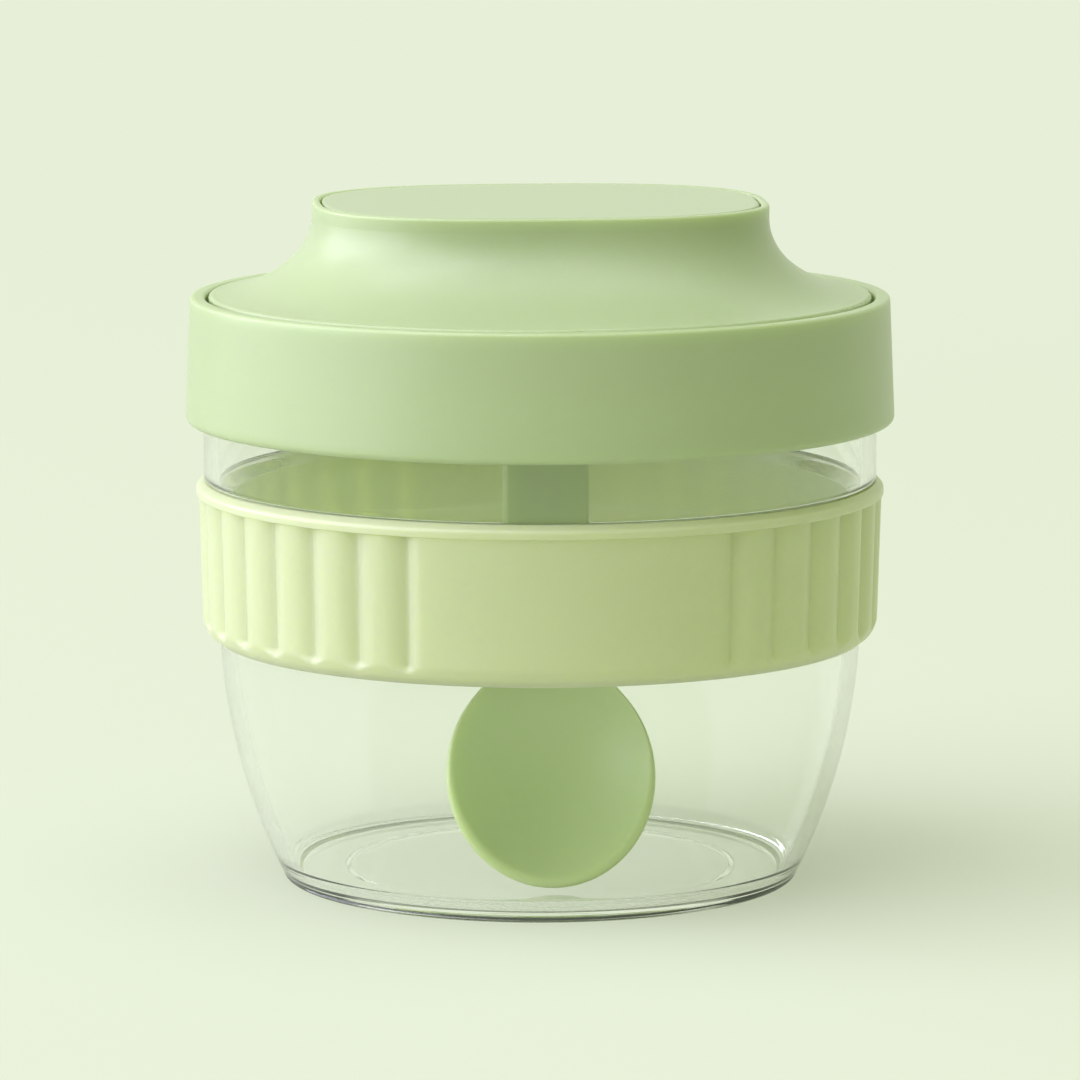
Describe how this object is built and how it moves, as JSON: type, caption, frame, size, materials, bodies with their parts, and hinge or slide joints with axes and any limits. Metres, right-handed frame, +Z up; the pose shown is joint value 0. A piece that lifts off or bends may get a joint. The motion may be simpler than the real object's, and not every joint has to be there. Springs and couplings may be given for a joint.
{
  "type": "lidded food cup with spoon",
  "caption": "Clear food cup with a fluted silicone band, a screw collar and a turning domed lid with an oval grip that carries a spoon down into the cup.",
  "frame": {"origin": "centre of the foot on the surface that the cup stands on", "axes": "+Z up along the cup's axis, +X along the long side of the grip, -Y towards the front, where the spoon hangs"},
  "size_m": [0.1148, 0.1148, 0.1103],
  "materials": {
    "clear_plastic": "polished clear moulding",
    "band_silicone": "matte pale yellow-green silicone",
    "seal_silicone": "matte translucent white silicone",
    "lid_plastic": "satin soft green moulding",
    "cap_plastic": "fine matte pale green moulding",
    "bearing_plastic": "plain white bearing plastic",
    "spoon_plastic": "satin green moulding",
    "screw_steel": "zinc-plated steel"
  },
  "bodies": {
    "cup": {"bowl": "clear_plastic", "grip_band": "band_silicone"},
    "lid_seal": {"rim_gasket": "seal_silicone"},
    "collar": {"screw_collar": "lid_plastic", "slip_ring": "bearing_plastic"},
    "turning_lid": {"grip_dome": "lid_plastic", "grip_cap": "cap_plastic", "lid_plate": "lid_plastic", "wiper_seal": "seal_silicone", "plate_screws": "screw_steel", "spoon": "spoon_plastic", "spoon_sleeve": "seal_silicone"}
  },
  "joints": [
    {"name": "lid_lift", "type": "slide", "parent": "cup", "child": "lid_seal", "axis": [0, 0, 1], "range_m": [0, 0.095]},
    {"name": "collar_turn", "type": "hinge", "parent": "lid_seal", "child": "collar", "pos_m": [0, 0, 0.08], "axis": [0, 0, 1], "range_deg": [0, 120]},
    {"name": "grip_turn", "type": "hinge", "parent": "collar", "child": "turning_lid", "pos_m": [0, 0, 0.1], "axis": [0, 0, 1], "continuous": true}
  ]
}
